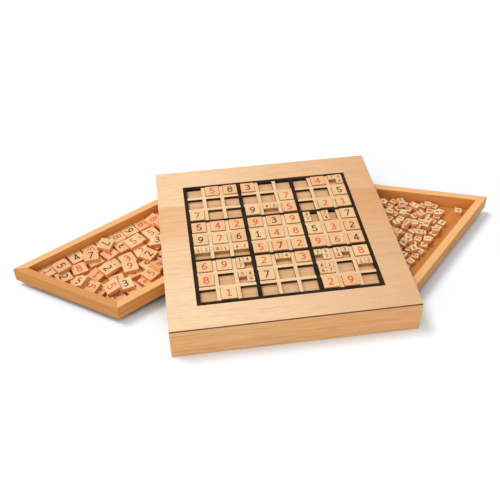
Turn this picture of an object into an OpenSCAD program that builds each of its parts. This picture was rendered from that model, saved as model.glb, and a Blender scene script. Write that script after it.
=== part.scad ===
// Wooden sudoku box with a pocketed top, two swing-out trays and square number tiles.
// Millimetres. The origin is the middle of the underside, +X to the right, +Y to the back, +Z up.

/* [Box] */
// Length of each side of the square box
box_side = 300; // [265:1:340]
// Height of the box
box_h = 44; // [42:0.5:56]
// Mean thickness of the front and back rails
rail_t = 28; // [22:0.5:34]
// How far the tray bay lies behind the middle of the box
bay_shift = 2; // [0:0.5:4]
// Thickness of the base panel
base_t = 7; // [5:0.5:9]
// Thickness of the board under the pockets
pocket_board_t = 13; // [11.5:0.5:15.5]
// Width of the rail between the trays
centre_rail_w = 10; // [6:1:38]
// Thickness of the top panel and its strips, which is the depth of the pockets
top_t = 4; // [2.5:0.25:5]
// How far the base panel and the pocket board reach into the rails
rebate_w = 14; // [10:0.5:18]

/* [Grid] */
// Width of the plain border round the grid
border_w = 36; // [24:0.5:46]
// Width of the strips between the pockets
strip_w = 4.8; // [4:0.1:5.5]
// Slack of one strip in another strip's notch
lap_slack = 0.06; // [0:0.01:0.2]

/* [Trays] */
// Thickness of the tray walls
tray_wall_t = 10; // [7:0.5:11]
// Thickness of the tray floors
tray_floor_t = 2; // [2:0.25:4]
// How far a tray floor reaches into the walls
floor_rebate_w = 5; // [3:0.5:6]
// Slant of a tray's free end
end_slant = 24.5; // [20:0.5:30]
// Distance of the pivot from a tray's outer and back faces
pivot_inset = 12; // [10:0.5:13]
// Gap between a tray's ends and the rails
end_gap = 1.5; // [1.2:0.1:3]
// Gap between a closed tray and the centre rail
stop_gap = 1; // [0.9:0.1:2]
// Gap under a tray
glide_gap = 0.3; // [0.2:0.05:0.6]
// Gap over a tray
head_gap = 0.5; // [0.3:0.05:1]
// How far the left tray stands open
left_open = 59; // [0:1:90]
// How far the right tray stands open
right_open = 44; // [0:1:90]

/* [Pivots and screws] */
// Diameter of the pivot pins
pin_d = 6; // [4:0.5:8]
// Running clearance round a pin in its tray
pin_play = 0.05; // [0.02:0.01:0.1]
// Clearance round a pin in the base panel and the pocket board
pin_fit = 0.02; // [0.01:0.01:0.05]
// How far a pin reaches into the pocket board
pin_seat = 9; // [6:0.5:11]
// Depth of a pin's end below the underside of the base panel
pin_recess = 0.5; // [0.2:0.1:1]
// Diameter of the screws
screw_d = 3.5; // [3:0.25:4.5]
// Diameter of the screw heads
screw_head_d = 7; // [6:0.25:8]
// Height of the screw heads
screw_head_h = 2.5; // [2:0.1:2.8]
// Length of the screws
screw_l = 18; // [14:0.5:20]
// Diameter of the driver recess in a screw head
screw_drive_d = 3; // [2.5:0.25:4]
// Depth of the driver recess in a screw head
screw_drive_depth = 1.2; // [0.8:0.1:1.6]
// Clearance round a screw
screw_fit = 0.05; // [0.02:0.01:0.1]
// Depth of a screw head below the underside of the base panel
screw_recess = 0.3; // [0.1:0.1:0.6]

/* [Tiles] */
// Clearance round a number tile in its pocket
tile_play = 0.5; // [0.25:0.05:0.8]
// Thickness of all tiles
tile_t = 5.4; // [4.8:0.2:6.2]
// Gap between the small candidate tiles in one pocket
candidate_gap = 0.4; // [0.2:0.1:1]
// Cut on the upright corners of the tiles
tile_corner = 0.5; // [0.2:0.1:1]
// Gap under a tile where it lies on something
seat_gap = 0.05; // [0.02:0.01:0.1]
// Gap between loose tiles that lie side by side
loose_gap = 0.4; // [0.2:0.1:1]
// How far the loose tiles reach in under the board
tiles_under_board = 16; // [0:1:20]
// How far the loose candidate tiles spread out from the board
candidate_spread = 88; // [60:1:110]
// Room between the outer wall and the loose candidate tiles
candidate_wall_gap = 15; // [10:0.5:20]
// Most room between one loose number tile and the next in its column
number_slack = 3; // [0:0.5:8]
// Most room between one loose candidate tile and the next in its column
candidate_slack = 3.5; // [0:0.5:8]
// Share of a leaning tile that reaches over the tile that it leans on
lean_over_share = 0.16; // [0.1:0.01:0.25]

/* [Hidden] */
$fn = 48;
// Overrun of every cut
cut = 1;

wood = [0.90, 0.74, 0.53];
pale_wood = [0.95, 0.82, 0.63];
deep_wood = [0.80, 0.55, 0.30];
black_wood = [0.15, 0.13, 0.12];
steel = [0.70, 0.71, 0.73];

// The grid: nine pockets a side, in blocks of three
pockets = 9;
block = 3;
lattice_w = box_side - 2 * border_w;
pitch = (lattice_w - strip_w) / pockets;
pocket_w = pitch - strip_w;
pocket_z = box_h - top_t;
board_z = pocket_z - pocket_board_t;

// One row of text for each row of pockets, back to front. # is a number tile.
// Candidate tiles: a is the back pair, b the left pair, c lacks front left, d lacks front right
// and e is all four.
grid_rows = [
    "-###---#c",
    "-----#--#",
    "#--#a#-##",
    "######bb#",
    "#########",
    "aaa######",
    "##d#a#cd#",
    "#-c#--e-a",
    "-#----##-"
];
number_mark = "#";
candidate_marks = "abcde";
quarters = [[-1, 1], [1, 1], [-1, -1], [1, -1]];
candidate_sets = [[0, 1], [0, 2], [0, 1, 3], [0, 1, 2], [0, 1, 2, 3]];
tile_w = pocket_w - 2 * tile_play;
candidate_w = (tile_w - candidate_gap) / 2;

// Box frame. The bay between the rails holds the trays, and its own middle is their middle.
inner_y = box_side / 2 - rail_t;
panel_d = 2 * (inner_y + rebate_w);
tray_z = base_t + glide_gap;
tray_h = board_z - head_gap - tray_z;
tray_l = 2 * (inner_y - end_gap);
tray_w = (box_side - centre_rail_w) / 2 - stop_gap;

// Left pivot. The right one is the same turned half round.
left_pivot = [pivot_inset - box_side / 2, inner_y - end_gap - pivot_inset];

// Screws along each rail
screw_count = 4;
screw_pitch = box_side / screw_count;
screw_y = inner_y + rebate_w / 2;

// Tray plan in its own frame: the origin is the pivot, the closed tray's outer wall runs along Y
tray_out_x = -pivot_inset;
tray_end_y = pivot_inset - tray_l;
slant_dir = [cos(end_slant), sin(end_slant)];
up_dir = [0, 1];
in_dir = [1, 0];
acute_corner = [tray_out_x, tray_end_y];
blunt_corner = acute_corner + tray_w / slant_dir.x * slant_dir;
back_corner = [tray_out_x + tray_w, pivot_inset];
post_face = pivot_inset;

// Corner of a line that lies a distance t inside the two sides that leave corner v
function inset_corner(v, side_a, side_b, t) = v + (side_a + side_b) * t / abs(cross(side_a, side_b));
function acute_inset(t) = inset_corner(acute_corner, up_dir, slant_dir, t);
function blunt_inset(t) = inset_corner(blunt_corner, up_dir, -slant_dir, t);
function back_inset(t) = inset_corner(back_corner, -up_dir, -in_dir, t);
function pivot_inset_corner(t) = [tray_out_x + t, pivot_inset - t];
function tray_outline(t) = [acute_inset(t), blunt_inset(t), back_inset(t), pivot_inset_corner(t)];

// Loose tiles lie in columns beside the outer wall. Each column has its own spread of turns.
hollow = tray_outline(tray_wall_t);
number_column_spreads = [1, 12, 22, 28, 15];
candidate_column_spreads = [24, 26, 18, 30, 24, 28, 16, 30];
number_seed = 21;
candidate_seed = 61;
seed_step = 3;
candidate_thin_share = 0.04;

// Turns of the trays that the loose tiles were spread for
left_reach_turn = 59;
right_reach_turn = 44;

// Tiles on top of the others: shares of the hollow's width and length from the acute corner, the turn,
// and the side on which another tile leans. A side of -1 has no leaning tile.
number_top_shares = [
    [0.14, 0.17, 4, -1], [0.20, 0.35, -25, -1], [0.14, 0.47, 36, 1], [0.30, 0.61, 2, -1],
    [0.48, 0.37, 8, -1], [0.60, 0.48, -18, -1], [0.60, 0.22, 30, 2], [0.79, 0.38, -14, 3],
    [0.57, 0.62, 22, -1], [0.83, 0.54, 12, 1], [0.44, 0.73, -30, -1], [0.13, 0.82, 16, 0]
];
candidate_top_shares = [
    [0.86, 0.31, 15, -1], [0.71, 0.24, 40, 1], [0.53, 0.23, -8, -1], [0.43, 0.17, 25, -1],
    [0.42, 0.28, -20, -1], [0.59, 0.33, 10, -1], [0.41, 0.38, 44, 0], [0.57, 0.44, -30, -1],
    [0.48, 0.51, 0, 1], [0.29, 0.44, 20, -1], [0.17, 0.36, 34, -1], [0.33, 0.54, -12, 1],
    [0.17, 0.47, 28, -1], [0.22, 0.59, -35, -1], [0.30, 0.31, 6, 1], [0.72, 0.37, 18, -1],
    [0.88, 0.40, -24, -1], [0.28, 0.21, 38, -1]
];
// Candidate tiles that lie by themselves near the acute corner: shares and turn as above
lone_tile_shares = [[0.12, 0.09, 20]];

// Corners of a square of side w at p, turned by a
function square_corners(p, w, a) = [for (s = [45 : 90 : 315]) p + w / sqrt(2) * [cos(s + a), sin(s + a)]];

// Room between a point and side k of the tray's hollow, positive inside
function side_room(q, k) =
    let (v = hollow[k], along = hollow[(k + 1) % len(hollow)] - v)
    cross(along, q - v) / norm(along);

// Room between a list of points and the post, which stands in the corner at the pivot
function post_room(points) =
    max(min([for (q = points) q.x]) - post_face, -post_face - max([for (q = points) q.y]));

// Least room between a list of points, the post and all sides of the hollow
function hollow_room(points) =
    min(post_room(points), min([for (q = points, k = [0 : len(hollow) - 1]) side_room(q, k)]));

// How far a point lies out from the side of the box, with the tray open by a turn
function board_reach(p, open) = -pivot_inset - p * [cos(open), sin(open)];

// Width of a square of side w turned by a
function turned_w(w, a) = w * (abs(cos(a)) + abs(sin(a)));
function sum_to(list, count) = count <= 0 ? 0 : list[count - 1] + sum_to(list, count - 1);

// Turned tiles of one column, loosely slid together from the slanted end: each is a place and a turn
function column(w, left, width, spread, slack, seed) =
    let (
        most = floor(tray_l / w),
        turns = rands(-spread, spread, most, seed),
        shifts = rands(-1, 1, most, seed + 1),
        slacks = rands(0, slack, most, seed + 2),
        spans = [for (a = turns) turned_w(w, a)],
        steps = [for (i = [0 : most - 1]) spans[i] + slacks[i] + loose_gap],
        foot = hollow[0].y + (left + width - hollow[0].x) * tan(end_slant)
    )
    [for (i = [0 : most - 1])
        let (
            x = left + (width + shifts[i] * (width - spans[i])) / 2,
            y = foot + loose_gap + sum_to(steps, i) + slacks[i] + spans[i] / 2
        )
        [[x, y], turns[i]]];

// Columns of tiles of side w, side by side from a gap beside the outer wall
function columns(w, gap, spreads, slack, seed) =
    let (widths = [for (s = spreads) turned_w(w, s) + loose_gap])
    [for (c = [0 : len(spreads) - 1])
        let (left = hollow[0].x + gap + sum_to(widths, c))
        each column(w, left, widths[c] - loose_gap, spreads[c], slack, seed + c * seed_step)];

// Tiles of a layer that lie in the hollow, between two reaches from the side of the box
function kept_tiles(tiles, w, open, nearest, furthest) =
    [for (tile = tiles)
        let (
            reach = board_reach(tile[0], open),
            room = hollow_room(square_corners(tile[0], w, tile[1]))
        )
        if (room > 0 && reach > nearest && reach < furthest) tile];

// Gap between two squares of side w, at p turned by a and at q turned by b, below zero where they overlap
function square_gap(p, a, q, b, w) =
    let (apart = max([for (t = [a, a + 90, b, b + 90]) abs((q - p) * [cos(t), sin(t)])]))
    apart - (w + turned_w(w, a - b)) / 2;

// Whether any of the tiles lies under a square of side w at p, turned by a
function is_carried(tiles, p, a, w) = min([for (tile = tiles) square_gap(p, a, tile[0], tile[1], w)]) < 0;

// A tile here and there is left out of the lowest layer
function thinned(tiles, thin_share, seed) =
    let (chance = rands(0, 1, len(tiles), seed))
    [for (i = [0 : len(tiles) - 1]) if (chance[i] > thin_share) tiles[i]];

// A place in the hollow from its shares of the width and the length
function hollow_place(shares) =
    let (width = tray_w - 2 * tray_wall_t, length = tray_l - 2 * tray_wall_t)
    hollow[0] + [shares[0] * width, shares[1] * length];

number_floor_tiles = kept_tiles(
    columns(tile_w, loose_gap, number_column_spreads, number_slack, number_seed), tile_w, left_reach_turn,
    -tiles_under_board, tray_l);
candidate_floor_tiles = thinned(
    kept_tiles(
        columns(candidate_w, candidate_wall_gap, candidate_column_spreads, candidate_slack, candidate_seed),
        candidate_w, right_reach_turn, -tiles_under_board, candidate_spread),
    candidate_thin_share, candidate_seed);

// Placing

module at_bay() {
    translate([0, bay_shift, 0]) children();
}

module at_left_tray() {
    at_bay() translate([left_pivot.x, left_pivot.y, tray_z]) rotate(-left_open) children();
}

module at_right_tray() {
    at_bay() rotate(180) translate([left_pivot.x, left_pivot.y, tray_z]) rotate(-right_open) children();
}

module at_both_pivots() {
    for (turn = [0, 180]) rotate(turn) translate(left_pivot) children();
}

module at_screws() {
    for (side = [-1, 1], i = [0 : screw_count - 1])
        translate([(i - (screw_count - 1) / 2) * screw_pitch, side * screw_y, screw_recess]) children();
}

// A block centred on X and Y that stands on height z
module slab(size_x, size_y, size_z, z) {
    translate([-size_x / 2, -size_y / 2, z]) cube([size_x, size_y, size_z]);
}

// Box

module screw_shape(fit) {
    cylinder(h = screw_head_h, d1 = screw_head_d + 2 * fit, d2 = screw_d + 2 * fit);
    cylinder(h = screw_l + fit, d = screw_d + 2 * fit);
}

module base_panel() {
    color(wood) at_bay() difference() {
        slab(box_side, panel_d, base_t, 0);
        at_both_pivots() translate([0, 0, -cut]) cylinder(h = base_t + 2 * cut, d = pin_d + 2 * pin_fit);
        at_screws() {
            screw_shape(screw_fit);
            translate([0, 0, -screw_recess - cut])
                cylinder(h = screw_recess + 2 * cut, d = screw_head_d + 2 * screw_fit);
        }
    }
}

// A rail with a rebate below for the base panel and one above for the pocket board
module rail(side) {
    thickness = rail_t - side * bay_shift;
    difference() {
        translate([0, side * (box_side - thickness) / 2, 0]) slab(box_side, thickness, pocket_z, 0);
        at_bay() {
            slab(box_side + 2 * cut, panel_d, base_t + cut, -cut);
            slab(box_side + 2 * cut, panel_d, pocket_board_t + cut, board_z);
            at_screws() screw_shape(screw_fit);
        }
    }
}

module front_rail() {
    color(wood) rail(-1);
}

module back_rail() {
    color(wood) rail(1);
}

module centre_rail() {
    color(wood) at_bay() slab(centre_rail_w, 2 * inner_y, board_z - base_t, base_t);
}

module pocket_board() {
    color(deep_wood) at_bay() difference() {
        slab(box_side, panel_d, pocket_board_t, board_z);
        at_both_pivots() translate([0, 0, board_z - cut])
            cylinder(h = pin_seat + cut, d = pin_d + 2 * pin_fit);
    }
}

module top_panel() {
    color(pale_wood) difference() {
        slab(box_side, box_side, top_t, pocket_z);
        slab(lattice_w, lattice_w, top_t + 2 * cut, pocket_z - cut);
    }
}

// Half-lapped strips

function is_block_line(i) = i % block == 0;
function line_place(i) = (i - pockets / 2) * pitch;

// A black strip runs over a plain one, and strips along run over strips across of the same colour
function along_is_over(along, across) = is_block_line(along) || !is_block_line(across);

// Strip number i of a set, lying along X. The crossing strips leave a notch in its upper or lower half.
module strip(i, is_along) {
    difference() {
        translate([0, line_place(i), 0]) slab(lattice_w, strip_w, top_t, pocket_z);
        for (k = [0 : pockets]) {
            is_over = is_along ? along_is_over(i, k) : !along_is_over(k, i);
            translate([line_place(k), line_place(i), is_over ? -top_t / 2 : top_t / 2])
                slab(strip_w + 2 * lap_slack, strip_w + 2 * cut, top_t, pocket_z);
        }
    }
}

module strips(is_along, is_black) {
    for (i = [0 : pockets])
        if (is_block_line(i) == is_black)
            if (is_along) strip(i, true);
            else rotate(90) mirror([0, 1, 0]) strip(i, false);
}

module block_strips_along() {
    color(black_wood) strips(true, true);
}

module block_strips_across() {
    color(black_wood) strips(false, true);
}

module cell_strips_along() {
    color(pale_wood) strips(true, false);
}

module cell_strips_across() {
    color(pale_wood) strips(false, false);
}

// Pins and screws

module pivot_pin() {
    color(steel) translate([left_pivot.x, left_pivot.y, pin_recess])
        cylinder(h = board_z + pin_seat - pin_recess, d = pin_d);
}

module left_pivot_pin() {
    at_bay() pivot_pin();
}

module right_pivot_pin() {
    at_bay() rotate(180) pivot_pin();
}

module base_screws() {
    color(steel) at_bay() at_screws() difference() {
        screw_shape(0);
        translate([0, 0, -cut]) cylinder(h = screw_drive_depth + cut, d = screw_drive_d, $fn = 6);
    }
}

// Trays, in the frame of a closed tray with the pivot at the origin

module floor_plan() {
    difference() {
        polygon(tray_outline(tray_wall_t - floor_rebate_w));
        translate([-post_face - cut, -post_face]) square([2 * post_face + cut, 2 * post_face + cut]);
    }
}

module tray_floor() {
    color(deep_wood) linear_extrude(tray_floor_t) floor_plan();
}

// A wall of the given plan, with its rebate for the floor
module tray_wall(plan) {
    color(wood) difference() {
        linear_extrude(tray_h) polygon(plan);
        translate([0, 0, -cut]) linear_extrude(tray_floor_t + cut) floor_plan();
    }
}

module tray_outer_wall() {
    tray_wall([
        acute_corner,
        acute_inset(tray_wall_t),
        [tray_out_x + tray_wall_t, -post_face],
        [tray_out_x, -post_face]
    ]);
}

module tray_end_wall() {
    tray_wall([acute_corner, blunt_corner, blunt_inset(tray_wall_t), acute_inset(tray_wall_t)]);
}

module tray_inner_wall() {
    tray_wall([blunt_corner, back_corner, back_inset(tray_wall_t), blunt_inset(tray_wall_t)]);
}

module tray_back_wall() {
    tray_wall([
        [post_face, pivot_inset],
        [post_face, pivot_inset - tray_wall_t],
        back_inset(tray_wall_t),
        back_corner
    ]);
}

// Square post round the pin, with a round outer corner that turns clear of the back rail
module tray_post() {
    color(wood) difference() {
        union() {
            cylinder(h = tray_h, r = pivot_inset);
            translate([-post_face, -post_face, 0]) cube([2 * post_face, post_face, tray_h]);
            translate([0, -post_face, 0]) cube([post_face, 2 * post_face, tray_h]);
        }
        translate([0, 0, -cut]) cylinder(h = tray_h + 2 * cut, d = pin_d + 2 * pin_play);
    }
}

// Tiles

module tile(w) {
    half = w / 2;
    in = half - tile_corner;
    linear_extrude(tile_t) polygon([
        [half, -in], [half, in], [in, half], [-in, half],
        [-half, in], [-half, -in], [-in, -half], [in, -half]
    ]);
}

module at_pocket(row, column) {
    translate([line_place(column) + pitch / 2, -line_place(row) - pitch / 2, pocket_z + seat_gap])
        children();
}

module number_tiles_row(number) {
    row = number - 1;
    color(pale_wood)
        for (c = [0 : pockets - 1])
            if (grid_rows[row][c] == number_mark) at_pocket(row, c) tile(tile_w);
}

module candidate_tiles_row(number) {
    row = number - 1;
    place = (candidate_w + candidate_gap) / 2;
    color(pale_wood)
        for (c = [0 : pockets - 1], set = search(grid_rows[row][c], candidate_marks))
            for (q = candidate_sets[set])
                at_pocket(row, c) translate(place * quarters[q]) tile(candidate_w);
}

// A leaning tile has its foot on the layer below and lies on the edge of a flat tile of the same side w
function lean_foot(w) = sqrt(pow((1 - lean_over_share) * w, 2) - pow(tile_t, 2));
function lean_angle(w) = atan(tile_t / lean_foot(w));
function lean_top(w) = w * sin(lean_angle(w)) + tile_t * cos(lean_angle(w)) + seat_gap;

// Corners of the ground that it takes up beside a tile at p
function lean_corners(p, w, turn) =
    square_corners(p + (lean_foot(w) + tile_t) * [cos(turn), sin(turn)], w, turn);

module leaning_tile(w) {
    translate([w / 2 + lean_foot(w) + 2 * seat_gap, 0, 0])
        rotate([0, lean_angle(w), 0]) translate([-w / 2, 0, seat_gap]) tile(w);
}

// Loose tiles: the lowest layer, then the tiles on top of it and those that lean on them
module loose_tiles(w, floor_tiles, top_shares) {
    low_z = tray_floor_t + seat_gap;
    top_z = low_z + tile_t + seat_gap;
    color(pale_wood) {
        for (place = floor_tiles)
            translate([place[0].x, place[0].y, low_z]) rotate(place[1]) tile(w);
        for (shares = top_shares) {
            p = hollow_place(shares);
            carried = is_carried(floor_tiles, p, shares[2], w);
            lean_turn = shares[2] + 90 * shares[3];
            if (hollow_room(square_corners(p, w, shares[2])) > 0)
                translate([p.x, p.y, carried ? top_z : low_z]) {
                    rotate(shares[2]) tile(w);
                    if (carried && shares[3] >= 0 && top_z + lean_top(w) < tray_h)
                        if (hollow_room(lean_corners(p, w, lean_turn)) > 0)
                            rotate(lean_turn) leaning_tile(w);
                }
        }
    }
}

module left_tray_tiles() {
    loose_tiles(tile_w, number_floor_tiles, number_top_shares);
}

module right_tray_tiles() {
    lone_tiles = [for (shares = lone_tile_shares) [hollow_place(shares), shares[2]]];
    loose_tiles(candidate_w, concat(candidate_floor_tiles, lone_tiles), candidate_top_shares);
}

base_panel();
front_rail();
back_rail();
centre_rail();
pocket_board();
top_panel();
block_strips_along();
block_strips_across();
cell_strips_along();
cell_strips_across();
left_pivot_pin();
right_pivot_pin();
base_screws();
at_left_tray() tray_post();  // left_tray_post
at_left_tray() tray_outer_wall();  // left_tray_outer_wall
at_left_tray() tray_end_wall();  // left_tray_end_wall
at_left_tray() tray_inner_wall();  // left_tray_inner_wall
at_left_tray() tray_back_wall();  // left_tray_back_wall
at_left_tray() tray_floor();  // left_tray_floor
at_left_tray() left_tray_tiles();
at_right_tray() tray_post();  // right_tray_post
at_right_tray() tray_outer_wall();  // right_tray_outer_wall
at_right_tray() tray_end_wall();  // right_tray_end_wall
at_right_tray() tray_inner_wall();  // right_tray_inner_wall
at_right_tray() tray_back_wall();  // right_tray_back_wall
at_right_tray() tray_floor();  // right_tray_floor
at_right_tray() right_tray_tiles();
number_tiles_row(1);  // number_tiles_row_1
number_tiles_row(2);  // number_tiles_row_2
number_tiles_row(3);  // number_tiles_row_3
number_tiles_row(4);  // number_tiles_row_4
number_tiles_row(5);  // number_tiles_row_5
number_tiles_row(6);  // number_tiles_row_6
number_tiles_row(7);  // number_tiles_row_7
number_tiles_row(8);  // number_tiles_row_8
number_tiles_row(9);  // number_tiles_row_9
candidate_tiles_row(1);  // candidate_tiles_row_1
candidate_tiles_row(3);  // candidate_tiles_row_3
candidate_tiles_row(4);  // candidate_tiles_row_4
candidate_tiles_row(6);  // candidate_tiles_row_6
candidate_tiles_row(7);  // candidate_tiles_row_7
candidate_tiles_row(8);  // candidate_tiles_row_8
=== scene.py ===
import math
import random

import bpy
from mathutils import Matrix, Vector


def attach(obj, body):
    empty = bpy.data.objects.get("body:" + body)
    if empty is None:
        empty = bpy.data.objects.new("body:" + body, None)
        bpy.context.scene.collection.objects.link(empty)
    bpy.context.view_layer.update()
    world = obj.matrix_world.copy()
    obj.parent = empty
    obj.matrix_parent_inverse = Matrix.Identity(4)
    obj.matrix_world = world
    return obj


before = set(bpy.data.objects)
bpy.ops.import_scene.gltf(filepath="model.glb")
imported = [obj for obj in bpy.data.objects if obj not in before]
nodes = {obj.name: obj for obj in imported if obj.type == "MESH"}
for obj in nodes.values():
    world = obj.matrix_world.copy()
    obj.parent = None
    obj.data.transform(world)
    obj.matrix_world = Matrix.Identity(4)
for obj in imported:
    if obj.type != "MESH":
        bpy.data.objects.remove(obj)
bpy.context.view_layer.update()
mm = 0.001


# colours are written as they look on screen, 0 to 255
def paint(red, green, blue):
    def toLinear(level):
        level = level / 255
        return level / 12.92 if level <= 0.04045 else ((level + 0.055) / 1.055) ** 2.4
    return (toLinear(red), toLinear(green), toLinear(blue), 1.0)


# an input is a plain value or the output socket of another node
def connect(tree, node, inputs):
    for key, value in inputs.items():
        if isinstance(value, bpy.types.NodeSocket):
            tree.links.new(value, node.inputs[key])
        else:
            node.inputs[key].default_value = value


def addNode(tree, kind, inputs=None, **settings):
    node = tree.nodes.new(kind)
    for key, value in settings.items():
        setattr(node, key, value)
    connect(tree, node, inputs or {})
    return node


def mathNode(tree, operation, first, second=0.0):
    return addNode(tree, "ShaderNodeMath", {0: first, 1: second}, operation=operation).outputs[0]


def mixColour(tree, part, first, second):
    return addNode(tree, "ShaderNodeMix", {0: part, 6: first, 7: second}, data_type="RGBA").outputs[2]


# share that runs from 0 to 1 while the value runs from low to high
def rise(tree, value, low, high):
    node = addNode(tree, "ShaderNodeMapRange", {"Value": value, "From Min": low, "From Max": high})
    return node.outputs["Result"]


# the same share, but only up to a limit
def share(tree, value, low, high, limit):
    return mathNode(tree, "MULTIPLY", rise(tree, value, low, high), limit)


# value that runs from low to high while the part runs from 0 to 1
def between(tree, part, low, high):
    node = addNode(tree, "ShaderNodeMapRange", {"Value": part, "To Min": low, "To Max": high})
    return node.outputs["Result"]


def turnedBy(tree, place, angle):
    node = addNode(tree, "ShaderNodeVectorRotate", {"Vector": place, "Angle": angle}, rotation_type="Z_AXIS")
    return node.outputs[0]


def shiftedBy(tree, place, along, across):
    offset = addNode(tree, "ShaderNodeCombineXYZ", {0: along, 1: across}).outputs[0]
    return addNode(tree, "ShaderNodeVectorMath", {0: place, 1: offset}).outputs[0]


# noise with a number of waves per metre of its own on each axis
def stretchedNoise(tree, place, perMetre, detail=3.0, distortion=0.0):
    scaled = addNode(tree, "ShaderNodeVectorMath", {0: place, 1: perMetre}, operation="MULTIPLY").outputs[0]
    noise = addNode(tree, "ShaderNodeTexNoise",
                    {"Vector": scaled, "Scale": 1.0, "Detail": detail, "Distortion": distortion})
    return noise.outputs["Fac"]


def relief(tree, height, strength, depth):
    node = addNode(tree, "ShaderNodeBump", {"Strength": strength, "Distance": depth, "Height": height})
    return node.outputs[0]


def startMaterial(name):
    material = bpy.data.materials.new(name)
    material.use_nodes = True
    tree = material.node_tree
    tree.nodes.clear()
    shader = addNode(tree, "ShaderNodeBsdfPrincipled")
    addNode(tree, "ShaderNodeOutputMaterial", {"Surface": shader.outputs[0]})
    place = addNode(tree, "ShaderNodeTexCoord").outputs["Object"]
    return material, tree, shader, place


box = {"side": 300 * mm, "height": 44 * mm}

# colours: pale and dark are the early and late wood, vein the fine lines, blush the patches of another tint
woodBase = {
    "pale": (249, 214, 170), "dark": (240, 196, 148), "vein": (206, 146, 94), "blush": (246, 190, 150),
    "grainTurn": 0.0,        # degrees from +X to the way the fibres run
    "figure": 1.0,           # how short the grain is
    "wave": 0.0,             # how far the grain lines wander
    "staves": None,          # tints of the glued staves from the front to the back
    "joint": 0.0,            # where the grain of two staves breaks off
    "pieceTints": None,      # three tints that those of the tiles lie between
    "tintShare": 0.5,
    "streak": 0.35,
    "fleck": 0.25,
    "clouded": 0.45,
    "toneAndShadeDrift": 0.0,            # how far the wood darkens towards the right side: partly its own tone, partly painted shade where the light falls off
    "paintedTopLight": None,           # colour painted on faces that look up: a painted highlight where the light falls on them
    "paintedTopLightShare": 0.75,
    "scorchAndShade": None,           # colour of the sawn sides, which a hot blade left dark; on the tiles of the board also painted shade of the gaps around them
    "scorchAndShadeShare": 0.0,
    "rim": None,             # colour of the line along the outside of the box, and of the wood under it
    "skirt": None,
    "rimDepth": 0.0,
    "polish": 0.5,           # roughness, a little smoother or rougher with the fibres
    "polishLevels": (0.3, 0.7),
    "smoother": 0.06,
    "rougher": 0.14,
    "gloss": 0.22,
    # painted highlight: the eased edges are mixed towards a pale tint
    "edgeHighlightTint": (255, 232, 198),
    "edgeLight": 0.0,
    "bump": 0.2,
    "bumpDepth": 0.12 * mm,
    "pits": -0.4,            # how far the flecks sink between the fibres
}

# grain: waves per metre along and across the fibres, and the levels between which each layer comes in
grainLayers = {
    "bands": {"along": 5.0, "across": 95.0, "detail": 3.0, "distortion": 0.7, "low": 0.34, "high": 0.68},
    "streaks": {"along": 7.0, "across": 420.0, "detail": 3.0, "distortion": 0.4, "low": 0.5, "high": 0.72},
    "fibres": {"along": 34.0, "across": 1100.0, "detail": 4.0, "distortion": 0.0, "low": 0.45, "high": 0.75},
    "flecks": {"along": 210.0, "across": 2600.0, "detail": 1.0, "distortion": 0.0, "low": 0.62, "high": 0.74},
    "clouds": {"along": 8.0, "across": 19.0, "detail": 2.0, "distortion": 0.0, "low": 0.42, "high": 0.66},
}
figuredLayers = ("bands", "streaks", "fibres")
waveNoise = {"perMetre": (16.0, 22.0, 22.0), "detail": 2.0}

# what a tile takes from the number that it draws: a quarter turn, a tint and, like a stave, a place in the wood
tileDraw = {"attribute": "tileTone", "turnedFrom": 0.45, "low": 0.05, "middle": 0.5, "high": 0.95,
            "along": 7.0, "across": 3.0}
# height of a face's normal: below the first it is a side, between the others the painted top light comes in
facingLevels = {"side": 0.707, "paintedTopLightLow": 0.6, "paintedTopLightHigh": 0.9}
scorching = {"sootLow": 0.2, "sootHigh": 0.55, "leastSoot": 0.85, "gloss": 0.06,
             "outsideDepth": 1.0 * mm, "lineBlur": 0.4 * mm, "skirtShare": 0.9}


def staveTint(tree, depth, staves):
    across = rise(tree, depth, -box["side"] / 2, box["side"] / 2)
    ramp = addNode(tree, "ShaderNodeValToRGB", {"Fac": across})
    stops = ramp.color_ramp.elements
    while len(stops) < len(staves):
        stops.new(1.0)
    for stop, (reached, colour) in zip(stops, staves):
        stop.position = reached / box["side"] + 0.5
        stop.color = paint(*colour)
    return ramp.outputs["Color"]


def drawnTint(tree, tone, tints):
    low, middle, high = [paint(*colour) for colour in tints]
    tint = mixColour(tree, rise(tree, tone, tileDraw["low"], tileDraw["middle"]), low, middle)
    return mixColour(tree, rise(tree, tone, tileDraw["middle"], tileDraw["high"]), tint, high)


# sides that the saw scorched, with painted shade added on the tiles of the board; on the outside of the box
# there is a line instead, with plain wood under it
def scorchAndShadeSides(tree, look, colour, axes, facing, clouds):
    side = mathNode(tree, "LESS_THAN", mathNode(tree, "ABSOLUTE", facing), facingLevels["side"])
    soot = rise(tree, clouds, scorching["sootLow"], scorching["sootHigh"])
    soot = between(tree, soot, scorching["leastSoot"], 1.0)
    scorchAndShadeMask = mathNode(tree, "MULTIPLY", mathNode(tree, "MULTIPLY", side, soot), look["scorchAndShadeShare"])
    line = 0.0
    if look["rim"]:
        reach = mathNode(tree, "MAXIMUM", mathNode(tree, "ABSOLUTE", axes["X"]),
                         mathNode(tree, "ABSOLUTE", axes["Y"]))
        inside = mathNode(tree, "LESS_THAN", reach, box["side"] / 2 - scorching["outsideDepth"])
        outside = mathNode(tree, "MULTIPLY", side, mathNode(tree, "SUBTRACT", 1.0, inside))
        foot = box["height"] - look["rimDepth"]
        line = mathNode(tree, "MULTIPLY", outside, rise(tree, axes["Z"], foot - scorching["lineBlur"], foot))
        skirt = mixColour(tree, line, paint(*look["skirt"]), paint(*look["rim"]))
        colour = mixColour(tree, mathNode(tree, "MULTIPLY", outside, scorching["skirtShare"]), colour, skirt)
        scorchAndShadeMask = mathNode(tree, "MULTIPLY", scorchAndShadeMask, inside)
    colour = mixColour(tree, scorchAndShadeMask, colour, paint(*look["scorchAndShade"]))
    dull = mathNode(tree, "MAXIMUM", scorchAndShadeMask, line)
    return colour, between(tree, dull, look["gloss"], scorching["gloss"])


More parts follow.
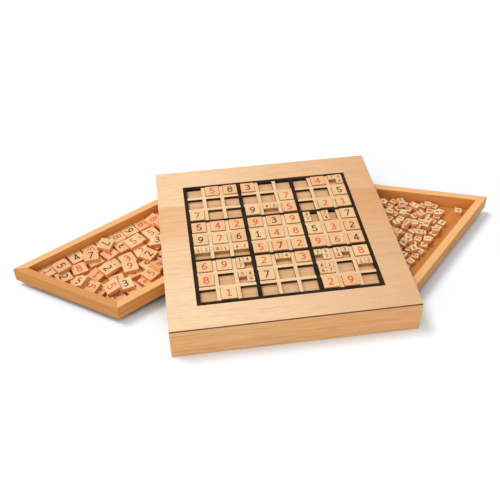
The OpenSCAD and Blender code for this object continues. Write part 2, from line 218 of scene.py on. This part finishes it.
def makeWood(name, **changes):
    look = {**woodBase, **changes}
    material, tree, shader, place = startMaterial(name)
    axes = addNode(tree, "ShaderNodeSeparateXYZ", {0: place}).outputs
    fibrePlace = turnedBy(tree, place, math.radians(-look["grainTurn"]))

    # every stave and every tile gets its own stretch of wood and its own tint
    tone = tint = None
    if look["staves"]:
        tint = staveTint(tree, axes["Y"], look["staves"])
        tone = mathNode(tree, "GREATER_THAN", axes["Y"], look["joint"])
    elif look["pieceTints"]:
        tone = addNode(tree, "ShaderNodeAttribute", attribute_name=tileDraw["attribute"]).outputs["Fac"]
        quarter = mathNode(tree, "GREATER_THAN", tone, tileDraw["turnedFrom"])
        fibrePlace = turnedBy(tree, fibrePlace, mathNode(tree, "MULTIPLY", quarter, math.radians(90)))
        tint = drawnTint(tree, tone, look["pieceTints"])
    if tone is not None:
        fibrePlace = shiftedBy(tree, fibrePlace, mathNode(tree, "MULTIPLY", tone, tileDraw["along"]),
                               mathNode(tree, "MULTIPLY", tone, tileDraw["across"]))
    if look["wave"]:
        wander = stretchedNoise(tree, fibrePlace, waveNoise["perMetre"], waveNoise["detail"])
        wander = mathNode(tree, "SUBTRACT", wander, 0.5)
        fibrePlace = shiftedBy(tree, fibrePlace, 0.0, mathNode(tree, "MULTIPLY", wander, look["wave"]))

    grain = {}
    for layer, noise in grainLayers.items():
        along = noise["along"] * (look["figure"] if layer in figuredLayers else 1.0)
        grain[layer] = stretchedNoise(tree, fibrePlace, (along, noise["across"], noise["across"]),
                                      noise["detail"], noise["distortion"])

    def shown(layer, limit):
        return share(tree, grain[layer], grainLayers[layer]["low"], grainLayers[layer]["high"], limit)

    colour = mixColour(tree, shown("bands", 1.0), paint(*look["pale"]), paint(*look["dark"]))
    colour = mixColour(tree, shown("clouds", look["clouded"]), colour, paint(*look["blush"]))
    if tint is not None:
        colour = mixColour(tree, look["tintShare"], colour, tint)
    for layer, limit in (("streaks", look["streak"]), ("fibres", look["streak"]), ("flecks", look["fleck"])):
        colour = mixColour(tree, shown(layer, limit), colour, paint(*look["vein"]))
    # painted shade: darker towards the right side, partly the wood's own tone and partly light that falls off
    if look["toneAndShadeDrift"]:
        rightwardToneAndShade = share(tree, axes["X"], -box["side"] / 3, box["side"] / 2, look["toneAndShadeDrift"])
        colour = mixColour(tree, rightwardToneAndShade, colour, paint(*look["vein"]))
    facing = addNode(tree, "ShaderNodeNewGeometry").outputs["True Normal"]
    facing = addNode(tree, "ShaderNodeSeparateXYZ", {0: facing}).outputs["Z"]
    # painted highlight: faces that look up are made paler
    if look["paintedTopLight"]:
        upper = share(tree, facing, facingLevels["paintedTopLightLow"], facingLevels["paintedTopLightHigh"], look["paintedTopLightShare"])
        colour = mixColour(tree, upper, colour, paint(*look["paintedTopLight"]))
    gloss = look["gloss"]
    if look["scorchAndShade"]:
        colour, gloss = scorchAndShadeSides(tree, look, colour, axes, facing, grain["clouds"])
    # painted highlight on the eased edges
    if look["edgeLight"]:
        colour = mixColour(tree, look["edgeLight"], colour, paint(*look["edgeHighlightTint"]))

    roughness = between(tree, rise(tree, grain["fibres"], *look["polishLevels"]),
                        look["polish"] - look["smoother"], look["polish"] + look["rougher"])
    height = mathNode(tree, "ADD", grain["fibres"], mathNode(tree, "MULTIPLY", grain["flecks"], look["pits"]))
    connect(tree, shader, {
        "Base Color": colour, "Roughness": roughness, "Specular IOR Level": gloss,
        "Normal": relief(tree, height, look["bump"], look["bumpDepth"])})
    return material


blackLook = {
    "film": (30, 19, 12), "dusty": (56, 40, 29), "rubbed": (104, 70, 44),
    "clouds": (60.0, 60.0, 60.0), "cloudLevels": (0.4, 0.75), "grain": (420.0, 420.0, 900.0),
    "bareLow": 0.62, "bareHigh": 0.78, "bareShare": 0.15, "wornLow": 0.2, "wornShare": 0.5,
    "smoothest": 0.6, "roughest": 0.8, "gloss": 0.12, "bump": 0.2, "bumpDepth": 0.1 * mm,
}


def makeBlackWood(name, worn):
    look = blackLook
    material, tree, shader, place = startMaterial(name)
    clouds = stretchedNoise(tree, place, look["clouds"], 4.0)
    grain = stretchedNoise(tree, place, look["grain"], 3.0)
    dust = rise(tree, clouds, *look["cloudLevels"])
    colour = mixColour(tree, dust, paint(*look["film"]), paint(*look["dusty"]))
    bare = share(tree, grain, look["bareLow"] - look["wornLow"] * worn, look["bareHigh"],
                 look["bareShare"] + look["wornShare"] * worn)
    colour = mixColour(tree, bare, colour, paint(*look["rubbed"]))
    connect(tree, shader, {
        "Base Color": colour, "Roughness": between(tree, grain, look["smoothest"], look["roughest"]),
        "Specular IOR Level": look["gloss"], "Normal": relief(tree, grain, look["bump"], look["bumpDepth"])})
    return material


inkLook = {
    "patches": (500.0, 1500.0, 500.0), "patchLevels": (0.45, 0.8), "patchShare": 0.55,
    "clouds": (90.0, 90.0, 90.0), "cloudLevels": (0.4, 0.8), "cloudShare": 0.4,
    "smoothest": 0.6, "roughest": 0.8, "gloss": 0.15, "bump": 0.15, "bumpDepth": 0.05 * mm,
}


def makeInk(name, full, thin):
    look = inkLook
    material, tree, shader, place = startMaterial(name)
    patches = stretchedNoise(tree, place, look["patches"], 3.0)
    clouds = stretchedNoise(tree, place, look["clouds"], 2.0)
    thinned = share(tree, patches, *look["patchLevels"], look["patchShare"])
    colour = mixColour(tree, thinned, paint(*full), paint(*thin))
    thinned = share(tree, clouds, *look["cloudLevels"], look["cloudShare"])
    colour = mixColour(tree, thinned, colour, paint(*thin))
    connect(tree, shader, {
        "Base Color": colour, "Roughness": between(tree, patches, look["smoothest"], look["roughest"]),
        "Specular IOR Level": look["gloss"], "Normal": relief(tree, patches, look["bump"], look["bumpDepth"])})
    return material


steelLook = {
    "bright": (196, 197, 200), "dull": (158, 156, 152),
    "lines": (2200.0, 2200.0, 60.0), "spots": (180.0, 180.0, 180.0), "spotLevels": (0.4, 0.8),
    "smoothest": 0.25, "roughest": 0.5, "bump": 0.15, "bumpDepth": 0.03 * mm,
}


def makeSteel(name):
    look = steelLook
    material, tree, shader, place = startMaterial(name)
    lines = stretchedNoise(tree, place, look["lines"], 3.0)
    spots = stretchedNoise(tree, place, look["spots"], 3.0)
    dulled = rise(tree, spots, *look["spotLevels"])
    colour = mixColour(tree, dulled, paint(*look["bright"]), paint(*look["dull"]))
    connect(tree, shader, {
        "Base Color": colour, "Roughness": between(tree, lines, look["smoothest"], look["roughest"]),
        "Metallic": 1.0, "Normal": relief(tree, lines, look["bump"], look["bumpDepth"])})
    return material


# every tile of a node draws a number of its own, which its wood takes its tint from
def makeTileTones():
    group = bpy.data.node_groups.new("tileTones", "GeometryNodeTree")
    group.interface.new_socket("Geometry", in_out="INPUT", socket_type="NodeSocketGeometry")
    seedSocket = group.interface.new_socket("Seed", in_out="INPUT", socket_type="NodeSocketInt")
    group.interface.new_socket("Geometry", in_out="OUTPUT", socket_type="NodeSocketGeometry")
    given = addNode(group, "NodeGroupInput").outputs
    tile = addNode(group, "GeometryNodeInputMeshIsland").outputs["Island Index"]
    drawn = addNode(group, "FunctionNodeRandomValue", {"ID": tile, "Seed": given["Seed"]})
    number = [socket for socket in drawn.outputs if socket.type == "VALUE"][0]
    stored = addNode(group, "GeometryNodeStoreNamedAttribute",
                     {"Geometry": given["Geometry"], "Name": tileDraw["attribute"], "Value": number})
    addNode(group, "NodeGroupOutput", {"Geometry": stored.outputs["Geometry"]})
    return group, seedSocket.identifier


tileTones, seedInput = makeTileTones()
easing = {"weld": 0.002 * mm, "segments": 2, "flattest": 35.0, "normalWeight": 100}
eased = {"rail": 0.5 * mm, "top": 0.25 * mm, "strip": 0.2 * mm, "pockets": 0.3 * mm, "tray": 0.4 * mm,
         "steel": 0.0, "tile": 0.25 * mm}


# a CAD piece keeps its mesh: its edges are eased by modifiers and take the second material
def dress(nodeName, face, edge, width, seed=None):
    piece = nodes[nodeName]
    piece.data.materials.clear()
    piece.data.materials.append(face)
    piece.data.materials.append(edge or face)
    weld = piece.modifiers.new("weld", "WELD")
    weld.merge_threshold = easing["weld"]
    if seed is not None:
        tones = piece.modifiers.new("tile tones", "NODES")
        tones.node_group = tileTones
        tones[seedInput] = seed
    if width:
        bevel = piece.modifiers.new("eased edges", "BEVEL")
        bevel.width = width
        bevel.segments = easing["segments"]
        bevel.limit_method = "ANGLE"
        bevel.angle_limit = math.radians(easing["flattest"])
        bevel.material = 1
    normals = piece.modifiers.new("even shading", "WEIGHTED_NORMAL")
    normals.weight = easing["normalWeight"]


# box: rails, base and centre rail
boxWood = {"pale": (252, 200, 141), "dark": (244, 186, 125), "vein": (194, 126, 70), "blush": (248, 184, 119),
           "streak": 0.5, "toneAndShadeDrift": 0.12}
railFace = makeWood("railWood", **boxWood)
railEdge = makeWood("railWoodEdge", **boxWood, edgeLight=0.12, polish=0.44)
for name in ("front_rail", "back_rail", "base_panel", "centre_rail"):
    dress(name, railFace, railEdge, eased["rail"])

# top: staves that run from side to side, with scorched saw cuts
topWood = {
    "pale": (252, 216, 174), "dark": (246, 202, 154), "vein": (200, 138, 84), "blush": (248, 200, 154),
    "toneAndShadeDrift": 0.52, "tintShare": 0.65, "streak": 0.24, "clouded": 0.4, "figure": 2.6, "wave": 9 * mm,
    "joint": 74 * mm,
    "staves": ((-150 * mm, (252, 220, 180)), (-72 * mm, (252, 218, 176)), (-62 * mm, (246, 212, 168)),
               (-4 * mm, (246, 208, 162)), (14 * mm, (240, 184, 132)), (50 * mm, (238, 176, 122)),
               (73.7 * mm, (238, 176, 122)), (74.2 * mm, (252, 212, 166))),
}
sawCut = {"scorchAndShade": (34, 16, 8), "scorchAndShadeShare": 0.97}
topRim = {"rim": (100, 50, 0), "skirt": boxWood["pale"], "rimDepth": 2.6 * mm}
topFace = makeWood("topWood", **topWood, **sawCut, **topRim)
topEdge = makeWood("topWoodEdge", **topWood, edgeLight=0.08)
dress("top_panel", topFace, topEdge, eased["top"])

# strips between the pockets, and the board that is the pockets' floor, whose wood is darker than the strips':
# partly its own tone, partly painted shade in the pockets
stripWood = {"pale": (254, 226, 184), "dark": (250, 214, 166), "vein": (206, 146, 90),
             "blush": (252, 212, 164), "toneAndShadeDrift": 0.4}
for name, turn in (("cell_strips_along", 0), ("cell_strips_across", 90)):
    face = makeWood(name + "Wood", **stripWood, **sawCut, grainTurn=turn)
    edge = makeWood(name + "Edge", **stripWood, grainTurn=turn, edgeLight=0.08)
    dress(name, face, edge, eased["strip"])
blackFace = makeBlackWood("blackLine", 0.0)
blackEdge = makeBlackWood("blackLineEdge", 0.35)
for name in ("block_strips_along", "block_strips_across"):
    dress(name, blackFace, blackEdge, eased["strip"])
pocketWoodAndShade = {"pale": (243, 198, 148), "dark": (232, 180, 126), "vein": (186, 124, 76),
              "blush": (240, 186, 138), "streak": 0.45, "toneAndShadeDrift": 0.2}
dress("pocket_board", makeWood("pocketWoodAndShade", **pocketWoodAndShade), None, eased["pockets"])

# trays: every wall has its fibres along its own length, and the rims are painted paler than the insides, as
# painted light on the faces that look up
trayWood = {"pale": (243, 180, 106), "dark": (230, 156, 80), "vein": (176, 98, 38), "blush": (234, 158, 84),
            "streak": 0.45, "paintedTopLight": (246, 192, 130)}
# painted shade: the tray floors and the left tray's end wall are given darker wood
shadedTrayWoods = {
    "left_tray_floor": {"pale": (226, 162, 90), "dark": (212, 138, 66), "blush": (216, 142, 70),
                        "paintedTopLight": None},
    "right_tray_floor": {"pale": (212, 148, 78), "dark": (198, 124, 56), "blush": (204, 130, 60),
                         "paintedTopLight": None},
    "left_tray_end_wall": {"pale": (218, 156, 86), "dark": (204, 132, 62), "blush": (210, 138, 68),
                           "paintedTopLight": (222, 152, 90)},
}
trayTurns = {"left": -59.0, "right": 136.0}
wallTurns = {"post": 90.0, "outer_wall": 90.0, "inner_wall": 90.0, "back_wall": 0.0, "end_wall": 24.5,
             "floor": 90.0}
for side, trayTurn in trayTurns.items():
    for wall, wallTurn in wallTurns.items():
        label = side + "_tray_" + wall
        wood = {**trayWood, **shadedTrayWoods.get(label, {}), "grainTurn": trayTurn + wallTurn}
        face = makeWood(label + "Wood", **wood)
        edge = makeWood(label + "Edge", **{**wood, "paintedTopLight": None}, edgeLight=0.15, polish=0.44)
        dress(label, face, edge, eased["tray"])

# pins and screws
steel = makeSteel("pinSteel")
for name in ("left_pivot_pin", "right_pivot_pin", "base_screws"):
    dress(name, steel, None, eased["steel"])

# tiles: those on the board are yellower than the loose ones, and the candidates paler than the numbers; the
# sides of the tiles on the board are painted darker, as painted shade in the gaps around them
tileWood = {"pale": (248, 208, 156), "dark": (241, 192, 138), "vein": (204, 138, 84), "blush": (248, 192, 142),
            "tintShare": 0.65, "streak": 0.3}
tileKinds = {
    "number_tiles": {
        "pieceTints": ((251, 220, 164), (247, 204, 152), (246, 188, 136)), "toneAndShadeDrift": 0.2,
        "scorchAndShade": (184, 112, 56), "scorchAndShadeShare": 0.88},
    "candidate_tiles": {
        "pieceTints": ((253, 230, 178), (250, 218, 164), (248, 202, 150)), "toneAndShadeDrift": 0.2,
        "scorchAndShade": (190, 120, 64), "scorchAndShadeShare": 0.88},
    "left_tray_tiles": {
        "pieceTints": ((255, 224, 170), (251, 200, 146), (247, 176, 122)),
        "scorchAndShade": (234, 160, 96), "scorchAndShadeShare": 0.85},
    "right_tray_tiles": {
        "pieceTints": ((255, 232, 184), (253, 218, 168), (250, 196, 146)),
        "scorchAndShade": (238, 168, 104), "scorchAndShadeShare": 0.85},
}
tileSeed = 0
for kind, changes in tileKinds.items():
    wood = {**tileWood, **changes}
    face = makeWood(kind + "Wood", **wood)
    edge = makeWood(kind + "Edge", **{**wood, "scorchAndShade": None}, edgeLight=0.08)
    for name in nodes:
        if name.startswith(kind):
            dress(name, face, edge, eased["tile"], tileSeed)
            tileSeed += 1
print("CAD pieces dressed:", len(nodes))


# digits: strokes in a box one unit high, with their middle on x = 0
stroke = {"width": 0.135, "arcStep": 15.0, "lower": 0.06, "mitreLimit": 0.5, "meets": 1e-6}


def arc(x, y, wide, high, start, end):
    count = max(2, round(abs(end - start) / stroke["arcStep"]))
    turns = [math.radians(start + (end - start) * i / count) for i in range(count + 1)]
    return [(x + wide * math.cos(turn), y + high * math.sin(turn)) for turn in turns]


def ring(x, y, wide, high):
    return arc(x, y, wide, high, 0, 360)


def halfTurn(strokes):
    return [[(-x, 1 - y) for x, y in line] for line in strokes]


sixStrokes = [ring(0, 0.32, 0.215, 0.245), arc(0.17, 0.36, 0.385, 0.57, 180, 92) + [(0.2, 0.93)]]
digitStrokes = {
    1: [[(0.02, 1.0), (0.02, 0.07)], [(-0.2, 0.78), (0.0, 0.9)], [(-0.2, 0.07), (0.24, 0.07)]],
    2: [arc(0, 0.69, 0.215, 0.24, 150, -28) + [(-0.21, 0.1)], [(-0.27, 0.07), (0.27, 0.07)]],
    3: [arc(-0.02, 0.72, 0.215, 0.205, 145, -90), arc(-0.02, 0.295, 0.25, 0.225, 90, -150),
        [(-0.12, 0.515), (0.0, 0.515)]],
    4: [[(0.09, 0.96), (-0.26, 0.29)], [(-0.3, 0.28), (0.3, 0.28)], [(0.11, 1.0), (0.11, 0.0)]],
    5: [[(-0.22, 0.93), (0.22, 0.93)], [(-0.165, 0.93), (-0.18, 0.5)],
        arc(-0.02, 0.33, 0.25, 0.26, 132, -150)],
    6: sixStrokes,
    7: [[(-0.27, 0.93), (0.27, 0.93)], [(0.235, 0.93), (-0.12, 0.0)]],
    8: [ring(0, 0.735, 0.2, 0.195), ring(0, 0.3, 0.24, 0.23)],
    9: halfTurn(sixStrokes),
}


# left and right rims of a stroke, mitred at its corners
def strokeRims(line, closed):
    points = [Vector(p) for p in (line[:-1] if closed else line)]
    count = len(points)
    rims = []
    for i, point in enumerate(points):
        before = points[i - 1] if closed or i > 0 else None
        after = points[(i + 1) % count] if closed or i < count - 1 else None
        inward = (point - before).normalized() if before is not None else (after - point).normalized()
        outward = (after - point).normalized() if after is not None else inward
        mitre = Vector((-inward.y - outward.y, inward.x + outward.x)).normalized()
        slant = max(stroke["mitreLimit"], mitre.dot(Vector((-inward.y, inward.x))))
        reach = stroke["width"] / 2 / slant
        rims.append((point + mitre * reach, point - mitre * reach))
    return rims


# a digit as closed prisms: height 1 across the tile, z 0 at the foot and 1 at the top of the film
def digitSolid(digit):
    points, faces = [], []
    for number, line in enumerate(digitStrokes[digit]):
        closed = (Vector(line[0]) - Vector(line[-1])).length < stroke["meets"]
        rims = strokeRims(line, closed)
        # each stroke is a little lower than the last, so no faces lie in one plane
        top = 1.0 - stroke["lower"] * number
        first = len(points)
        for left, right in rims:
            points += [(left.x, left.y, 0.0), (right.x, right.y, 0.0),
                       (right.x, right.y, top), (left.x, left.y, top)]
        count = len(rims)
        for i in range(count if closed else count - 1):
            a, b = first + 4 * i, first + 4 * ((i + 1) % count)
            for k in range(4):
                faces.append((a + k, b + k, b + (k + 1) % 4, a + (k + 1) % 4))
        if not closed:
            last = first + 4 * (count - 1)
            faces.append((first, first + 1, first + 2, first + 3))
            faces.append((last + 3, last + 2, last + 1, last))
    return points, faces


digitShapes = {digit: digitSolid(digit) for digit in digitStrokes}
tileMeasure = {"sameCorner": 0.005 * mm, "wallTilt": 0.1, "squareMillimetres": 1e6}


# for every tile in a mesh, its sides: area, and normal and middle times area
def tileSides(mesh):
    keys, parent = {}, []

    def root(i):
        while parent[i] != i:
            parent[i] = parent[parent[i]]
            i = parent[i]
        return i

    corner = []
    for vertex in mesh.vertices:
        key = tuple(round(c / tileMeasure["sameCorner"]) for c in vertex.co)
        if key not in keys:
            keys[key] = len(parent)
            parent.append(len(parent))
        corner.append(keys[key])
    for polygon in mesh.polygons:
        ids = [root(corner[i]) for i in polygon.vertices]
        for i in ids[1:]:
            parent[root(i)] = root(ids[0])
    tiles = {}
    for polygon in mesh.polygons:
        sides = tiles.setdefault(root(corner[polygon.vertices[0]]), {})
        key = tuple(round(c, 2) for c in polygon.normal)
        area, normal, middle = sides.get(key, (0.0, Vector(), Vector()))
        sides[key] = (area + polygon.area, normal + polygon.normal * polygon.area,
                      middle + polygon.center * polygon.area)
    return [list(sides.values()) for sides in tiles.values()]


# walls go by their width, and those alike by how far they look to the right
def wallOrder(side):
    area, normal, middle = side
    return (round(area * tileMeasure["squareMillimetres"], 1), normal.x, normal.y)


# pose of every tile in a node: middle of the face that looks up, sideways, upwards on the face and outwards
def tilePoses(nodeName):
    poses = []
    for sides in tileSides(nodes[nodeName].data):
        upper = [side for side in sides if side[1].z > 0]
        area, normal, middle = max(upper, key=lambda side: side[0])
        up = normal.normalized()
        walls = [side for side in sides if abs(side[1].normalized().dot(up)) < tileMeasure["wallTilt"]]
        widest = max(walls, key=wallOrder)
        along = widest[1].normalized()
        poses.append((middle / area, along, up.cross(along).normalized(), up))
    poses.sort(key=lambda pose: (round(pose[0].y, 5), round(pose[0].x, 5)))
    return poses


ink = {"sunk": 0.05 * mm, "proud": 0.06 * mm, "numberHeight": 12.0 * mm, "candidateHeight": 5.9 * mm}
inkMaterials = {
    "red": makeInk("redInk", (214, 78, 58), (236, 134, 102)),
    "black": makeInk("blackInk", (58, 40, 30), (112, 82, 62)),
}


def printDigits(name, body, colour, height, marks):
    if not marks:
        return
    points, faces = [], []
    for digit, (middle, along, upward, out) in marks:
        shape, shapeFaces = digitShapes[digit]
        first = len(points)
        for x, y, z in shape:
            lift = ink["proud"] * z - ink["sunk"] * (1 - z)
            points.append(middle + along * (x * height) + upward * ((y - 0.5) * height) + out * lift)
        faces += [tuple(first + i for i in face) for face in shapeFaces]
    mesh = bpy.data.meshes.new(name)
    mesh.from_pydata(points, [], faces)
    mesh.update()
    mesh.materials.append(inkMaterials[colour])
    piece = bpy.data.objects.new(name, mesh)
    bpy.context.scene.collection.objects.link(piece)
    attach(piece, body)


# upright on the board: x to the right, y to the back
def upright(pose):
    return (pose[0], Vector((1, 0, 0)), Vector((0, 1, 0)), pose[3])


board = {
    # number tiles of each row from left to right, r red and k black
    "numbers": {
        1: "5r 8k 3k 4r", 2: "7r 5k", 3: "7r 9k 5r 2r 1r", 4: "5k 4r 2r 9r 3k 9r 7k",
        5: "9k 7r 6k 1k 4r 8r 5k 3r 2k", 6: "5r 7k 2r 9r 6r 4k", 7: "6r 9r 2r 3r 8r", 8: "8r 7k",
        9: "1r 2r 9r",
    },
    # candidate tiles of each row from left to right, the back ones of a pocket first
    "candidates": {
        1: "7 4 4", 3: "4 2", 4: "4 7 7 4", 6: "1 3 8 1 1 8", 7: "1 4 7 1 4 1 4 7 1 3 4",
        8: "3 4 9 1 4 7 6 1 3",
    },
    "pocketPitch": 24.8 * mm,
}
colourNames = {"r": "red", "k": "black"}
for row, text in board["numbers"].items():
    poses = sorted(tilePoses("number_tiles_row_%d" % row), key=lambda pose: pose[0].x)
    marks = {"red": [], "black": []}
    for word, pose in zip(text.split(), poses):
        marks[colourNames[word[1]]].append((int(word[0]), upright(pose)))
    for colour, listed in marks.items():
        printDigits("row_%d_%s_digits" % (row, colour), "row_%d_tiles" % row, colour,
                    ink["numberHeight"], listed)


def pocketOrder(pose):
    return (round(pose[0].x / board["pocketPitch"]), -round(pose[0].y, 4), pose[0].x)


for row, text in board["candidates"].items():
    poses = sorted(tilePoses("candidate_tiles_row_%d" % row), key=pocketOrder)
    listed = [(int(word), upright(pose)) for word, pose in zip(text.split(), poses)]
    printDigits("row_%d_candidate_digits" % row, "row_%d_candidates" % row, "black",
                ink["candidateHeight"], listed)
print("board digits printed")


# loose tiles: any of four quarter turns
def quarterTurned(pose, quarters):
    middle, along, upward, out = pose
    turn = Matrix.Rotation(math.radians(90 * quarters), 3, out)
    return (middle, turn @ along, turn @ upward, out)


# left tray from front to back: digit, colour and quarter turns; those in the right tray are too small to read
loose = {
    "leftTray": "4r3 5r3 1k3 3k0 4r3 5r3 2r3 5k0 7r0 5r0 7r0 9r2 1r2 8r3 1r0 2k3 "
                "9r0 2k3 5k0 6k0 8r0 1r3 5k3 2k3 2k1 3r0 5r3 3r3 7k0 2r0 4k0 4r2 "
                "3r1 2r0 3k0 3k1 5r0 7k3 1r1 1r3 8r3 5r0 9k3 5k0 3r3 6r3 8r0 4k2",
    "seed": 7,
}
marks = {"red": [], "black": []}
for word, pose in zip(loose["leftTray"].split(), tilePoses("left_tray_tiles")):
    marks[colourNames[word[1]]].append((int(word[0]), quarterTurned(pose, int(word[2]))))
for colour, listed in marks.items():
    printDigits("left_tray_%s_digits" % colour, "left_tray", colour, ink["numberHeight"], listed)
draw = random.Random(loose["seed"])
listed = []
for pose in tilePoses("right_tray_tiles"):
    listed.append((draw.randint(1, 9), quarterTurned(pose, draw.randint(0, 3))))
printDigits("right_tray_candidate_digits", "right_tray", "black", ink["candidateHeight"], listed)
print("loose digits printed")


# camera where the photograph was taken from
view = {
    "eye": (-129.85 * mm, -749.58 * mm, 712.77 * mm),
    "forward": (0.09192204, 0.73078009, -0.67639545),
    "right": (0.99034409, -0.13788309, -0.01438177),
    "lens": 56.139,
    "sensor": 36.0,
    "nearest": 0.01,
    "farthest": 100.0,
}
lensData = bpy.data.cameras.new("photoCamera")
lensData.lens = view["lens"]
lensData.sensor_width = view["sensor"]
lensData.sensor_fit = "HORIZONTAL"
lensData.clip_start = view["nearest"]
lensData.clip_end = view["farthest"]
camera = bpy.data.objects.new("photoCamera", lensData)
bpy.context.scene.collection.objects.link(camera)
back = -Vector(view["forward"]).normalized()
right = Vector(view["right"]).normalized()
up = back.cross(right).normalized()
camera.matrix_world = Matrix((
    (right.x, up.x, back.x, view["eye"][0]),
    (right.y, up.y, back.y, view["eye"][1]),
    (right.z, up.z, back.z, view["eye"][2]),
    (0, 0, 0, 1),
))
bpy.context.scene.camera = camera

# white studio: a wide floor, an even sky, a soft key lamp up behind the left and a low fill lamp in front
studio = {"floorSize": 40.0, "floorDrop": 0.2 * mm, "floorGlow": 0.1, "skyLight": 0.5}
# the floor that shows under the trays, where more than half of the sky is hidden, is darker
floorGap = {"reach": 60 * mm, "samples": 16, "dark": 0.08, "lit": 0.55}
floorTones = {"bounce": (0.7, 0.7, 0.7, 1.0), "seen": (0.9, 0.955, 1.0, 1.0), "gap": (0.22, 0.22, 0.23, 1.0)}
lamps = {
    "keyLamp": {"from": (-0.5, 0.3, 1.2), "strength": 1.48, "spread": 22.0},
    "fillLamp": {"from": (-1.1, -1.0, 0.45), "strength": 1.18, "spread": 60.0},
}


# 1 for the rays that show the studio itself, 0 for those that light the object
def seenDirectly(tree):
    rays = addNode(tree, "ShaderNodeLightPath").outputs
    mirrored = mathNode(tree, "MAXIMUM", rays["Is Glossy Ray"], rays["Is Transmission Ray"])
    return mathNode(tree, "MAXIMUM", rays["Is Camera Ray"], mirrored)


def makeFloorMaterial(name):
    material = bpy.data.materials.new(name)
    material.use_nodes = True
    tree = material.node_tree
    tree.nodes.clear()
    seen = seenDirectly(tree)
    openSky = addNode(tree, "ShaderNodeAmbientOcclusion", {"Distance": floorGap["reach"]},
                      samples=floorGap["samples"]).outputs["AO"]
    lit = rise(tree, openSky, floorGap["dark"], floorGap["lit"])
    colour = mixColour(tree, lit, floorTones["gap"], floorTones["seen"])
    colour = mixColour(tree, seen, floorTones["bounce"], colour)
    strength = mathNode(tree, "MULTIPLY", mathNode(tree, "MULTIPLY", seen, lit), studio["floorGlow"])
    glow = addNode(tree, "ShaderNodeEmission", {"Strength": strength})
    matte = addNode(tree, "ShaderNodeBsdfDiffuse", {"Color": colour})
    both = addNode(tree, "ShaderNodeAddShader", {0: glow.outputs[0], 1: matte.outputs[0]})
    addNode(tree, "ShaderNodeOutputMaterial", {"Surface": both.outputs[0]})
    return material


floorMesh = bpy.data.meshes.new("studioFloor")
half = studio["floorSize"] / 2
floorCorners = [(-half, -half, 0), (half, -half, 0), (half, half, 0), (-half, half, 0)]
floorMesh.from_pydata(floorCorners, [], [(0, 1, 2, 3)])
floorMesh.materials.append(makeFloorMaterial("studioFloor"))
floor = bpy.data.objects.new("studioFloor", floorMesh)
floor.location.z = -studio["floorDrop"]
bpy.context.scene.collection.objects.link(floor)

world = bpy.data.worlds.new("studioSky")
world.use_nodes = True
sky = world.node_tree
sky.nodes.clear()
skyStrength = between(sky, seenDirectly(sky), studio["skyLight"], 1.0)
skyShader = addNode(sky, "ShaderNodeBackground", {"Color": (1, 1, 1, 1), "Strength": skyStrength})
addNode(sky, "ShaderNodeOutputWorld", {"Surface": skyShader.outputs[0]})
bpy.context.scene.world = world

for name, settings in lamps.items():
    lampData = bpy.data.lights.new(name, "SUN")
    lampData.energy = settings["strength"]
    lampData.angle = math.radians(settings["spread"])
    lamp = bpy.data.objects.new(name, lampData)
    lamp.location = Vector(settings["from"])
    lamp.rotation_euler = lamp.location.to_track_quat("Z", "Y").to_euler()
    bpy.context.scene.collection.objects.link(lamp)
bpy.context.scene.view_settings.view_transform = "Standard"
print("studio lit")
